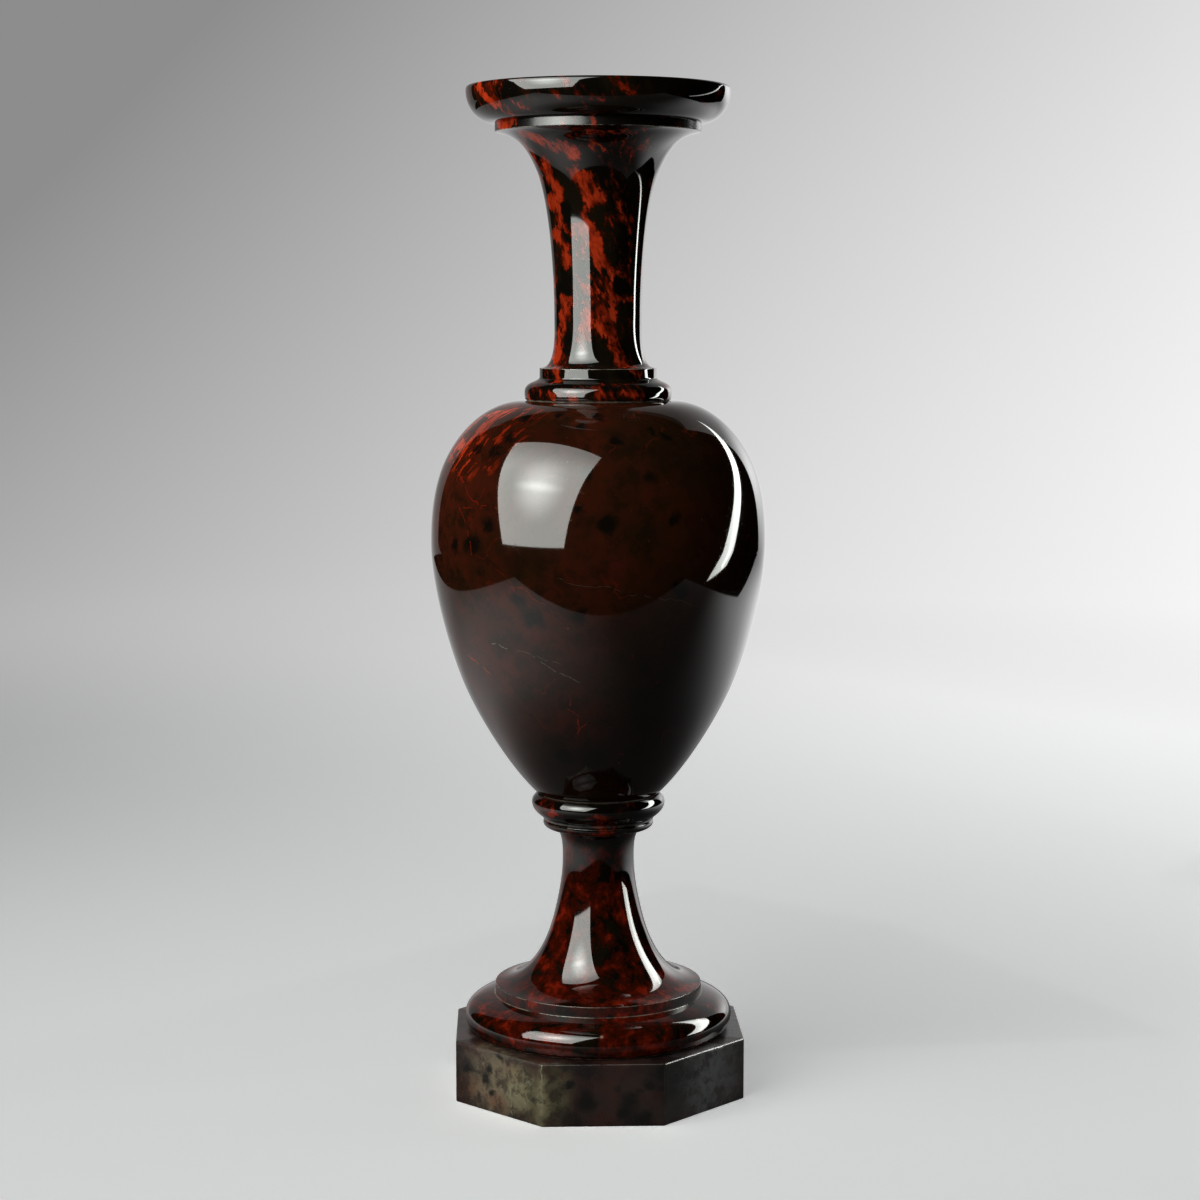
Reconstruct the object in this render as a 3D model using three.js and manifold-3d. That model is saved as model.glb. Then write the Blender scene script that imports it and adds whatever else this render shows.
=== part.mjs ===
// Turned stone vase, built in sections and clamped on one tie rod.
// Millimetres, +Z up. The origin is on the turning axis at the face that the plinth rests on.

import * as THREE from 'three';
import { mergeVertices } from 'three/addons/utils/BufferGeometryUtils.js';
import Module from 'manifold-3d';

// Heights of the stones, from the bottom up, and the mastic bed in each joint between them
const plinthHeight = 22.2;
const footHeight = 72.5;
const knopHeight = 12.9;
const bodyHeight = 141.6;
const neckHeight = 109.6;
const bedThickness = 0.3;
const bedSetback = 0.5;

// Octagonal plinth
const plinthAcrossFlats = 103.3;
const plinthEasedEdge = 0.45;
const plinthRecessRadius = 15;
const plinthRecessDepth = 13;

// Foot: base torus, plain fillet, then the stem that narrows to a waist and opens again under the knop
const footSeatRadius = 46.2;
const footTorusRadius = 48.5;
const footTorusHeight = 4.3;
const footFilletHeight = 12.2;
const footFilletLowRadius = 37.6;
const footFilletTopRadius = 37.5;
const footFilletWidth = 3.8;
const stemFlankRadius = 17.1;
const stemFlankHeight = 37.2;
const stemWaistRadius = 12.9;
const stemWaistHeight = 61.3;
const stemTopRadius = 14.9;

// Knop: a bead, a band with a fine groove, a cove and the large torus that carries the body
const knopUnderRadius = 15.6;
const knopBandRadius = 19.9;
const knopBeadHeight = 2.2;
const knopGrooveDepth = 0.35;
const knopGrooveWidth = 0.7;
const knopBandHeight = 4.3;
const knopTorusRadius = 24.1;
const knopTorusHeight = 10.0;
const knopTopRadius = 22.3;

// Body: an egg with its wide end up, hollowed through the shoulder
const bodyBaseRadius = 21.8;
const bodyLowerRadius = 48.65;
const bodyLowerHeight = 41.0;
const bodyBellyRadius = 59.9;
const bodyBellyHeight = 91.1;
const bodyUpperRadius = 53.75;
const bodyUpperHeight = 122.15;
const bodySeatRadius = 27.0;
const bodyWall = 8;
const bodyFloorThickness = 14;
const bodyFloorRadius = 20;
const shoulderOpeningRadius = 17.2;
const shoulderLedgeRadius = 20;
const shoulderThickness = 9;

// Neck: spigot, stepped collar, waisted shaft, fillet and lip, all one stone
const spigotLength = 8;
const spigotClearance = 0.3;
const collarSeatRadius = 25.9;
const collarTorusRadius = 26.3;
const collarTorusHeight = 2.6;
const collarTorusTop = 6.6;
const collarTorusTopRadius = 22.6;
const collarBandRadius = 20.9;
const collarBandLow = 8.0;
const collarBandTop = 11.2;
const neckRootRadius = 18.3;
const neckRootHeight = 12.0;
const neckWaistRadius = 15.6;
const neckWaistHeight = 29.5;
const neckFlankRadius = 22.05;
const neckFlankHeight = 81.2;
const neckFilletRadius = 36.4;
const neckFilletHeight = 93.9;
const neckFilletWidth = 3.0;
const lipRadius = 46.7;
const lipRollHeight = 1.5;
const lipRollDepth = 0.8;
const rimWidth = 4.2;
const neckBoreRadius = 9;
const dishRadius = 28;
const dishDepth = 12;
const mouthDepth = 60;

// Tie rod and its fastenings
const rodRadius = 4;
const rodClearance = 1;
const threadClearance = 0.3;
const rodTail = 1.5;
const nutAcrossFlats = 13;
const nutHeight = 6.5;
const washerRadius = 11;
const washerThickness = 2;
const leadRadius = 12;
const leadThickness = 1.5;

// How finely round forms are faceted
const turnSteps = 44;
const bedSteps = 32;
const fastenerSteps = 24;
const curveFacetTurn = 15;
const bodyFacetTurn = 9;
const facetLength = 12;

// Places worked out from the sizes above
const footBottom = plinthHeight + bedThickness;
const footTop = footBottom + footHeight;
const knopBottom = footTop + bedThickness;
const knopTop = knopBottom + knopHeight;
const bodyBottom = knopTop + bedThickness;
const bodyTop = bodyBottom + bodyHeight;
const neckBottom = bodyTop + bedThickness;
const stoneBoreRadius = rodRadius + rodClearance;
const fastenerBoreRadius = rodRadius + threadClearance;
const spigotRadius = shoulderOpeningRadius - spigotClearance;

const wasm = await Module();
wasm.setup();

// The closed outline that is turned about the axis: radius across, height up, drawn anticlockwise.
// Directions are degrees from outwards, turning upwards. Curves are faceted by how far they turn and run.
class HalfSection {
  constructor(radius, height, facetTurn = curveFacetTurn) {
    this.points = [at(radius, height)];
    this.facetTurn = facetTurn;
  }

  lineTo(radius, height) {
    this.points.push(at(radius, height));
    return this;
  }

  // Leaves and arrives in the given directions, on handles that are a share of the distance covered
  sweepTo(end, leaving, arriving, pull) {
    const start = this.points.at(-1);
    const reach = pull * start.distanceTo(end);
    const first = start.clone().add(heading(leaving).multiplyScalar(reach));
    const second = end.clone().sub(heading(arriving).multiplyScalar(reach));
    return this.follow(new THREE.CubicBezierCurve(start, first, second, end), arriving - leaving);
  }

  // A quarter of an ellipse that leaves outwards and arrives upwards
  swellTo(end) {
    const start = this.points.at(-1);
    const across = end.x - start.x;
    const up = end.y - start.y;
    const arc = new THREE.EllipseCurve(start.x, end.y, across, up, -Math.PI / 2, 0, false, 0);
    return this.follow(arc, 90);
  }

  follow(curve, turned) {
    const byTurn = Math.abs(turned) / this.facetTurn;
    const byLength = curve.getLength() / facetLength;
    const facets = Math.max(2, Math.round(Math.max(byTurn, byLength)));
    this.points.push(...curve.getPoints(facets).slice(1));
    return this;
  }

  turn(bottom, steps) {
    const outline = [...this.points, this.points[0].clone()];
    const geometry = new THREE.LatheGeometry(outline, steps);
    geometry.rotateX(Math.PI / 2);
    geometry.translate(0, 0, bottom);
    return geometry;
  }
}

function heading(degrees) {
  const angle = THREE.MathUtils.degToRad(degrees);
  return new THREE.Vector2(Math.cos(angle), Math.sin(angle));
}

function at(radius, height) {
  return new THREE.Vector2(radius, height);
}

function ring(inner, outer, height, bottom, steps) {
  return new HalfSection(inner, 0)
    .lineTo(outer, 0)
    .lineTo(outer, height)
    .lineTo(inner, height)
    .turn(bottom, steps);
}

function toManifold(geometry) {
  const bare = geometry.clone();
  bare.deleteAttribute('normal');
  bare.deleteAttribute('uv');
  const merged = mergeVertices(bare, 1e-4);
  return new wasm.Manifold(new wasm.Mesh({
    numProp: 3,
    vertProperties: new Float32Array(merged.attributes.position.array),
    triVerts: new Uint32Array(merged.index.array),
  }));
}

function fromManifold(solid) {
  const mesh = solid.getMesh();
  const geometry = new THREE.BufferGeometry();
  geometry.setAttribute('position', new THREE.BufferAttribute(mesh.vertProperties, 3));
  geometry.setIndex(new THREE.BufferAttribute(mesh.triVerts, 1));
  geometry.computeVertexNormals();
  return geometry;
}

// Regular polygon with one flat facing the front
function polygon(sides, acrossFlats) {
  const shape = new THREE.Shape();
  const cornerRadius = acrossFlats / 2 / Math.cos(Math.PI / sides);
  for (let side = 0; side < sides; side += 1) {
    const angle = (2 * Math.PI * (side + 0.5)) / sides;
    const x = cornerRadius * Math.cos(angle);
    const y = cornerRadius * Math.sin(angle);
    if (side === 0) {
      shape.moveTo(x, y);
    } else {
      shape.lineTo(x, y);
    }
  }
  shape.closePath();
  return shape;
}

// Octagonal slab with eased edges, bored for the rod and recessed below for the nut
function plinthGeometry() {
  const slab = new THREE.ExtrudeGeometry(polygon(8, plinthAcrossFlats - 2 * plinthEasedEdge), {
    depth: plinthHeight - 2 * plinthEasedEdge,
    bevelEnabled: true,
    bevelSize: plinthEasedEdge,
    bevelThickness: plinthEasedEdge,
    bevelSegments: 2,
    steps: 1,
  });
  slab.translate(0, 0, plinthEasedEdge);
  const overrun = 5;
  const drill = new HalfSection(0, -overrun)
    .lineTo(plinthRecessRadius, -overrun)
    .lineTo(plinthRecessRadius, plinthRecessDepth)
    .lineTo(stoneBoreRadius, plinthRecessDepth)
    .lineTo(stoneBoreRadius, plinthHeight + overrun)
    .lineTo(0, plinthHeight + overrun)
    .turn(0, fastenerSteps);
  return fromManifold(toManifold(slab).subtract(toManifold(drill)));
}

function footGeometry() {
  const flank = 107;
  return new HalfSection(stoneBoreRadius, 0)
    .lineTo(footSeatRadius, 0)
    .sweepTo(at(footTorusRadius, footTorusHeight), 25, 90, 0.4)
    .sweepTo(at(footFilletLowRadius, footFilletHeight), 90, 165, 0.38)
    .lineTo(footFilletTopRadius, footFilletHeight + footFilletWidth)
    .sweepTo(at(stemFlankRadius, stemFlankHeight), 177, flank, 0.37)
    .sweepTo(at(stemWaistRadius, stemWaistHeight), flank, 90, 0.28)
    .sweepTo(at(stemTopRadius, footHeight), 90, 50, 0.3)
    .lineTo(stoneBoreRadius, footHeight)
    .turn(footBottom, turnSteps);
}

function knopGeometry() {
  const grooveMiddle = (knopBeadHeight + knopBandHeight) / 2;
  return new HalfSection(stoneBoreRadius, 0)
    .lineTo(knopUnderRadius, 0)
    .swellTo(at(knopBandRadius, knopBeadHeight))
    .lineTo(knopBandRadius, grooveMiddle - knopGrooveWidth / 2)
    .lineTo(knopBandRadius - knopGrooveDepth, grooveMiddle)
    .lineTo(knopBandRadius, grooveMiddle + knopGrooveWidth / 2)
    .lineTo(knopBandRadius, knopBandHeight)
    .sweepTo(at(knopTorusRadius, knopTorusHeight), 35, 90, 0.36)
    .sweepTo(at(knopTopRadius, knopHeight), 90, 142, 0.34)
    .lineTo(stoneBoreRadius, knopHeight)
    .turn(knopBottom, turnSteps);
}

// A point of the body's outside, moved in by the wall thickness square to the surface
function insideWall(radius, height, direction) {
  return at(radius, height).add(heading(direction + 90).multiplyScalar(bodyWall));
}

function bodyGeometry() {
  const lower = 68;
  const upper = 118;
  const seat = 177;
  const ceiling = bodyHeight - shoulderThickness;
  return new HalfSection(stoneBoreRadius, 0, bodyFacetTurn)
    .lineTo(bodyBaseRadius, 0)
    .sweepTo(at(bodyLowerRadius, bodyLowerHeight), 42, lower, 0.27)
    .sweepTo(at(bodyBellyRadius, bodyBellyHeight), lower, 90, 0.29)
    .sweepTo(at(bodyUpperRadius, bodyUpperHeight), 90, upper, 0.33)
    .sweepTo(at(bodySeatRadius, bodyHeight), upper, seat, 0.36)
    .lineTo(shoulderOpeningRadius, bodyHeight)
    .lineTo(shoulderOpeningRadius, ceiling)
    .lineTo(shoulderLedgeRadius, ceiling)
    .sweepTo(insideWall(bodyUpperRadius, bodyUpperHeight, upper), seat - 180, upper - 180, 0.36)
    .sweepTo(insideWall(bodyBellyRadius, bodyBellyHeight, 90), upper - 180, -90, 0.33)
    .sweepTo(insideWall(bodyLowerRadius, bodyLowerHeight, lower), -90, lower - 180, 0.29)
    .sweepTo(at(bodyFloorRadius, bodyFloorThickness), lower - 180, -140, 0.27)
    .lineTo(stoneBoreRadius, bodyFloorThickness)
    .turn(bodyBottom, turnSteps);
}

function neckGeometry() {
  const rimRadius = lipRadius - lipRollDepth;
  return new HalfSection(neckBoreRadius, -spigotLength)
    .lineTo(spigotRadius, -spigotLength)
    .lineTo(spigotRadius, 0)
    .lineTo(collarSeatRadius, 0)
    .sweepTo(at(collarTorusRadius, collarTorusHeight), 60, 90, 0.35)
    .sweepTo(at(collarTorusTopRadius, collarTorusTop), 90, 160, 0.4)
    .sweepTo(at(collarBandRadius, collarBandLow), 150, 90, 0.36)
    .lineTo(collarBandRadius, collarBandTop)
    .sweepTo(at(neckRootRadius, neckRootHeight), 175, 150, 0.34)
    .sweepTo(at(neckWaistRadius, neckWaistHeight), 140, 90, 0.24)
    .sweepTo(at(neckFlankRadius, neckFlankHeight), 90, 66, 0.24)
    .sweepTo(at(neckFilletRadius, neckFilletHeight), 66, 8, 0.42)
    .lineTo(neckFilletRadius, neckFilletHeight + neckFilletWidth)
    .swellTo(at(lipRadius, neckHeight - lipRollHeight))
    .sweepTo(at(rimRadius, neckHeight), 90, 165, 0.4)
    .lineTo(rimRadius - rimWidth, neckHeight)
    .sweepTo(at(dishRadius, neckHeight - dishDepth), -100, -150, 0.35)
    .sweepTo(at(neckBoreRadius, neckHeight - mouthDepth), -150, -90, 0.36)
    .turn(neckBottom, turnSteps);
}

function nutGeometry(bottom) {
  const shape = polygon(6, nutAcrossFlats);
  const hole = new THREE.Path();
  hole.absarc(0, 0, fastenerBoreRadius, 0, 2 * Math.PI, true);
  shape.holes.push(hole);
  const nut = new THREE.ExtrudeGeometry(shape, {
    depth: nutHeight,
    bevelEnabled: false,
    curveSegments: fastenerSteps,
  });
  nut.translate(0, 0, bottom);
  return nut;
}

function rodGeometry(bottom, top) {
  return new HalfSection(0, 0)
    .lineTo(rodRadius, 0)
    .lineTo(rodRadius, top - bottom)
    .lineTo(0, top - bottom)
    .turn(bottom, fastenerSteps);
}

// Finishes
const redStone = { color: 0x4a1410, roughness: 0.12, metalness: 0 };
const bodyStone = { color: 0x2a1411, roughness: 0.1, metalness: 0 };
const plinthStone = { color: 0x38302b, roughness: 0.35, metalness: 0 };
const mastic = { color: 0x8a7a66, roughness: 0.8, metalness: 0 };
const lead = { color: 0x6f7276, roughness: 0.6, metalness: 1 };
const brass = { color: 0xa9853f, roughness: 0.35, metalness: 1 };

const vase = new THREE.Group();

function add(name, geometry, finish) {
  const mesh = new THREE.Mesh(geometry, new THREE.MeshStandardMaterial(finish));
  mesh.name = name;
  vase.add(mesh);
}

function addBed(name, innerRadius, outerRadius, bottom) {
  add(name, ring(innerRadius, outerRadius - bedSetback, bedThickness, bottom, bedSteps), mastic);
}

// Stones, each bedded on the one below
add('plinth', plinthGeometry(), plinthStone);
addBed('plinth_mastic', stoneBoreRadius, footSeatRadius, plinthHeight);
add('foot', footGeometry(), redStone);
addBed('foot_mastic', stoneBoreRadius, stemTopRadius, footTop);
add('knop', knopGeometry(), redStone);
addBed('knop_mastic', stoneBoreRadius, bodyBaseRadius, knopTop);
add('body', bodyGeometry(), bodyStone);
addBed('shoulder_mastic', shoulderOpeningRadius, collarSeatRadius, bodyTop);
add('neck', neckGeometry(), redStone);

// Fastenings in the plinth's recess, from the stone down to the nut
const plinthLeadBottom = plinthRecessDepth - leadThickness;
const plinthWasherBottom = plinthLeadBottom - washerThickness;
const plinthNutBottom = plinthWasherBottom - nutHeight;
const leadBoreRadius = stoneBoreRadius;
add('plinth_lead', ring(leadBoreRadius, leadRadius, leadThickness, plinthLeadBottom, fastenerSteps), lead);
add(
  'plinth_washer',
  ring(fastenerBoreRadius, washerRadius, washerThickness, plinthWasherBottom, fastenerSteps),
  brass,
);
add('plinth_nut', nutGeometry(plinthNutBottom), brass);

// Fastenings on the floor inside the body, from the stone up to the nut
const bodyLeadBottom = bodyBottom + bodyFloorThickness;
const bodyWasherBottom = bodyLeadBottom + leadThickness;
const bodyNutBottom = bodyWasherBottom + washerThickness;
add('body_lead', ring(leadBoreRadius, leadRadius, leadThickness, bodyLeadBottom, fastenerSteps), lead);
add(
  'body_washer',
  ring(fastenerBoreRadius, washerRadius, washerThickness, bodyWasherBottom, fastenerSteps),
  brass,
);
add('body_nut', nutGeometry(bodyNutBottom), brass);
add('tie_rod', rodGeometry(plinthNutBottom - rodTail, bodyNutBottom + nutHeight + rodTail), brass);

export default vase;
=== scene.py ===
# Turned stone vase: the finish of every stone and fastening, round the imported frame
import math

import bmesh
import bpy
from mathutils import Matrix, Vector, noise
from mathutils.geometry import interpolate_bezier


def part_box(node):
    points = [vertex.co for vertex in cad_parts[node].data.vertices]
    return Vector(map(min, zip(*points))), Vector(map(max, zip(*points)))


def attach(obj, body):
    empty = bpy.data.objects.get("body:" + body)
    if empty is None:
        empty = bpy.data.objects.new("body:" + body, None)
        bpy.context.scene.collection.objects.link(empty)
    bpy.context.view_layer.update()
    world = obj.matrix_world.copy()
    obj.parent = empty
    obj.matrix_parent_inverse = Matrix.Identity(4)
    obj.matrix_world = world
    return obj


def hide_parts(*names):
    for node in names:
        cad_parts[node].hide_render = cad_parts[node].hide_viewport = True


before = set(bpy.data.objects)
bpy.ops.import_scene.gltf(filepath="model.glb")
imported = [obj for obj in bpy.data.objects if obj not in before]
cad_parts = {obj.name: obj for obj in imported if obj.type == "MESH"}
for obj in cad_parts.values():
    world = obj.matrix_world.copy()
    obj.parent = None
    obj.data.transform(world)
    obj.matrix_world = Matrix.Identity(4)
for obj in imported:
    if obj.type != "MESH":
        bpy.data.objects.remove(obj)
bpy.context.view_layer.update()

MM = 0.001

# Foot: base torus, plain fillet, stem
FOOT_SEAT_RADIUS = 46.2
FOOT_TORUS_HEIGHT = 4.3
FOOT_FILLET_HEIGHT = 12.2
FOOT_FILLET_LOW_RADIUS = 37.6
FOOT_FILLET_TOP_RADIUS = 37.5
FOOT_FILLET_WIDTH = 3.8
STEM_FLANK_RADIUS = 17.1
STEM_FLANK_HEIGHT = 37.2
STEM_WAIST_RADIUS = 12.9
STEM_WAIST_HEIGHT = 61.3
STEM_TOP_RADIUS = 14.9

# Knop: bead, grooved band, cove and torus
KNOP_UNDER_RADIUS = 15.6
KNOP_BAND_RADIUS = 19.9
KNOP_BEAD_HEIGHT = 2.2
KNOP_GROOVE_DEPTH = 0.35
KNOP_GROOVE_WIDTH = 0.7
KNOP_BAND_HEIGHT = 4.3
KNOP_TORUS_HEIGHT = 10.0
KNOP_TOP_RADIUS = 22.3

# Body: an egg with its wide end up, hollowed through the shoulder
BODY_BASE_RADIUS = 21.8
BODY_LOWER_RADIUS = 48.65
BODY_LOWER_HEIGHT = 41.0
BODY_BELLY_HEIGHT = 91.1
BODY_UPPER_RADIUS = 53.75
BODY_UPPER_HEIGHT = 122.15
BODY_SEAT_RADIUS = 27.0
BODY_WALL = 8
BODY_FLOOR_THICKNESS = 14
BODY_FLOOR_RADIUS = 20
SHOULDER_OPENING_RADIUS = 17.2
SHOULDER_LEDGE_RADIUS = 20
SHOULDER_THICKNESS = 9

# Neck: spigot, stepped collar, waisted shaft, fillet and lip
SPIGOT_LENGTH = 8
SPIGOT_CLEARANCE = 0.3
COLLAR_SEAT_RADIUS = 25.9
COLLAR_TORUS_RADIUS = 26.3
COLLAR_TORUS_HEIGHT = 2.6
COLLAR_TORUS_TOP = 6.6
COLLAR_TORUS_TOP_RADIUS = 22.6
COLLAR_BAND_RADIUS = 20.9
COLLAR_BAND_LOW = 8.0
COLLAR_BAND_TOP = 11.2
NECK_ROOT_RADIUS = 18.3
NECK_ROOT_HEIGHT = 12.0
NECK_WAIST_RADIUS = 15.6
NECK_WAIST_HEIGHT = 29.5
NECK_FLANK_RADIUS = 22.05
NECK_FLANK_HEIGHT = 81.2
NECK_FILLET_RADIUS = 36.4
NECK_FILLET_HEIGHT = 93.9
NECK_FILLET_WIDTH = 3.0
LIP_ROLL_HEIGHT = 1.5
LIP_ROLL_DEPTH = 0.8
RIM_WIDTH = 4.2
NECK_BORE_RADIUS = 9
DISH_RADIUS = 28
DISH_DEPTH = 12
MOUTH_DEPTH = 60

# Plinth and the bores through the stones
PLINTH_EASED_EDGE = 0.45
PLINTH_RECESS_RADIUS = 15
PLINTH_RECESS_DEPTH = 13
PLINTH_CHIP_DEPTH = 0.6
PLINTH_TURN_STEPS = 256
PLINTH_WALL_STEPS = 16
PLINTH_ARRIS_STEPS = 4
FLAT_TURN = math.tau / 8
STONE_BORE_RADIUS = 5

# How far each kind of arris is rubbed down, and how finely the stones are cut
CRISP_ARRIS = 0.16
SOFT_ARRIS = 0.3
ARRIS_STEPS = 3
HOLDING_DISTANCE = 0.25
TURN_STEPS = 192
FACET_TURN = 4
FACET_LENGTH = 1.8
SHARP_TURN = 35


def corner(node):
    """Lowest height and widest radius of a CAD node, in millimetres."""
    low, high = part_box(node)
    return low.z / MM, high.z / MM, high.x / MM


foot_bottom, foot_top, FOOT_TORUS_RADIUS = corner("foot")
knop_bottom, knop_top, KNOP_TORUS_RADIUS = corner("knop")
body_bottom, body_top, BODY_BELLY_RADIUS = corner("body")
spigot_bottom, neck_top, LIP_RADIUS = corner("neck")
plinth_bottom, plinth_top, PLINTH_HALF_WIDTH = corner("plinth")
neck_bottom = spigot_bottom + SPIGOT_LENGTH
FOOT_HEIGHT = foot_top - foot_bottom
KNOP_HEIGHT = knop_top - knop_bottom
BODY_HEIGHT = body_top - body_bottom
NECK_HEIGHT = neck_top - neck_bottom


def heading(degrees):
    """Unit vector in the section's plane, from outwards turning up."""
    angle = math.radians(degrees)
    return Vector((math.cos(angle), math.sin(angle)))


class HalfSection:
    """The closed outline that is turned about the axis: radius across, height up, drawn anticlockwise.

    Directions are degrees from outwards, turning upwards.
    """

    def __init__(self, radius, height):
        self.points = [Vector((radius, height))]
        self.arrises = {}

    def line_to(self, radius, height):
        self.points.append(Vector((radius, height)))
        return self

    def eased(self, easing):
        """Rubs down the arris at the last point."""
        self.arrises[len(self.points) - 1] = easing
        return self

    def sweep_to(self, radius, height, leaving, arriving, pull):
        """Curves on handles that are a share of the distance covered."""
        start = self.points[-1]
        end = Vector((radius, height))
        reach = pull * (end - start).length
        first = start + heading(leaving) * reach
        second = end - heading(arriving) * reach
        return self.follow(start, first, second, end, abs(arriving - leaving))

    def swell_to(self, radius, height):
        """A quarter of an ellipse that leaves outwards and arrives upwards."""
        start = self.points[-1]
        centre = Vector((start.x, height))
        steps = math.ceil(90 / FACET_TURN)
        for step in range(1, steps + 1):
            angle = math.radians(90 * step / steps)
            across = (radius - centre.x) * math.sin(angle)
            down = (start.y - centre.y) * math.cos(angle)
            self.points.append(centre + Vector((across, down)))
        return self

    def follow(self, start, first, second, end, turned):
        by_turn = turned / FACET_TURN
        by_length = (end - start).length / FACET_LENGTH
        steps = max(4, math.ceil(max(by_turn, by_length)))
        curve = interpolate_bezier(start.to_3d(), first.to_3d(), second.to_3d(), end.to_3d(), steps + 1)
        self.points.extend(point.to_2d() for point in curve[1:])
        return self


def foot_section():
    flank = 107
    section = HalfSection(STONE_BORE_RADIUS, 0)
    section.line_to(FOOT_SEAT_RADIUS, 0).eased(SOFT_ARRIS)
    section.sweep_to(FOOT_TORUS_RADIUS, FOOT_TORUS_HEIGHT, 25, 90, 0.4)
    section.sweep_to(FOOT_FILLET_LOW_RADIUS, FOOT_FILLET_HEIGHT, 90, 165, 0.38).eased(CRISP_ARRIS)
    section.line_to(FOOT_FILLET_TOP_RADIUS, FOOT_FILLET_HEIGHT + FOOT_FILLET_WIDTH).eased(CRISP_ARRIS)
    section.sweep_to(STEM_FLANK_RADIUS, STEM_FLANK_HEIGHT, 177, flank, 0.37)
    section.sweep_to(STEM_WAIST_RADIUS, STEM_WAIST_HEIGHT, flank, 90, 0.28)
    section.sweep_to(STEM_TOP_RADIUS, FOOT_HEIGHT, 90, 50, 0.3).eased(CRISP_ARRIS)
    return section.line_to(STONE_BORE_RADIUS, FOOT_HEIGHT)


def knop_section():
    groove_middle = (KNOP_BEAD_HEIGHT + KNOP_BAND_HEIGHT) / 2
    section = HalfSection(STONE_BORE_RADIUS, 0)
    section.line_to(KNOP_UNDER_RADIUS, 0)
    section.swell_to(KNOP_BAND_RADIUS, KNOP_BEAD_HEIGHT)
    section.line_to(KNOP_BAND_RADIUS, groove_middle - KNOP_GROOVE_WIDTH / 2).eased(CRISP_ARRIS / 2)
    section.line_to(KNOP_BAND_RADIUS - KNOP_GROOVE_DEPTH, groove_middle)
    section.line_to(KNOP_BAND_RADIUS, groove_middle + KNOP_GROOVE_WIDTH / 2).eased(CRISP_ARRIS / 2)
    section.line_to(KNOP_BAND_RADIUS, KNOP_BAND_HEIGHT).eased(CRISP_ARRIS)
    section.sweep_to(KNOP_TORUS_RADIUS, KNOP_TORUS_HEIGHT, 35, 90, 0.36)
    section.sweep_to(KNOP_TOP_RADIUS, KNOP_HEIGHT, 90, 142, 0.34).eased(CRISP_ARRIS)
    return section.line_to(STONE_BORE_RADIUS, KNOP_HEIGHT)


def inside_wall(radius, height, direction):
    """A point of the body's outside, moved in by the wall square to the surface."""
    return Vector((radius, height)) + heading(direction + 90) * BODY_WALL


def body_section():
    lower = 68
    upper = 118
    seat = 177
    ceiling = BODY_HEIGHT - SHOULDER_THICKNESS
    section = HalfSection(STONE_BORE_RADIUS, 0)
    section.line_to(BODY_BASE_RADIUS, 0).eased(SOFT_ARRIS)
    section.sweep_to(BODY_LOWER_RADIUS, BODY_LOWER_HEIGHT, 42, lower, 0.27)
    section.sweep_to(BODY_BELLY_RADIUS, BODY_BELLY_HEIGHT, lower, 90, 0.29)
    section.sweep_to(BODY_UPPER_RADIUS, BODY_UPPER_HEIGHT, 90, upper, 0.33)
    section.sweep_to(BODY_SEAT_RADIUS, BODY_HEIGHT, upper, seat, 0.36)
    section.line_to(SHOULDER_OPENING_RADIUS, BODY_HEIGHT).eased(CRISP_ARRIS)
    section.line_to(SHOULDER_OPENING_RADIUS, ceiling)
    section.line_to(SHOULDER_LEDGE_RADIUS, ceiling)
    inner_upper = inside_wall(BODY_UPPER_RADIUS, BODY_UPPER_HEIGHT, upper)
    inner_belly = inside_wall(BODY_BELLY_RADIUS, BODY_BELLY_HEIGHT, 90)
    inner_lower = inside_wall(BODY_LOWER_RADIUS, BODY_LOWER_HEIGHT, lower)
    section.sweep_to(*inner_upper, seat - 180, upper - 180, 0.36)
    section.sweep_to(*inner_belly, upper - 180, -90, 0.33)
    section.sweep_to(*inner_lower, -90, lower - 180, 0.29)
    section.sweep_to(BODY_FLOOR_RADIUS, BODY_FLOOR_THICKNESS, lower - 180, -140, 0.27)
    return section.line_to(STONE_BORE_RADIUS, BODY_FLOOR_THICKNESS)


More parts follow.
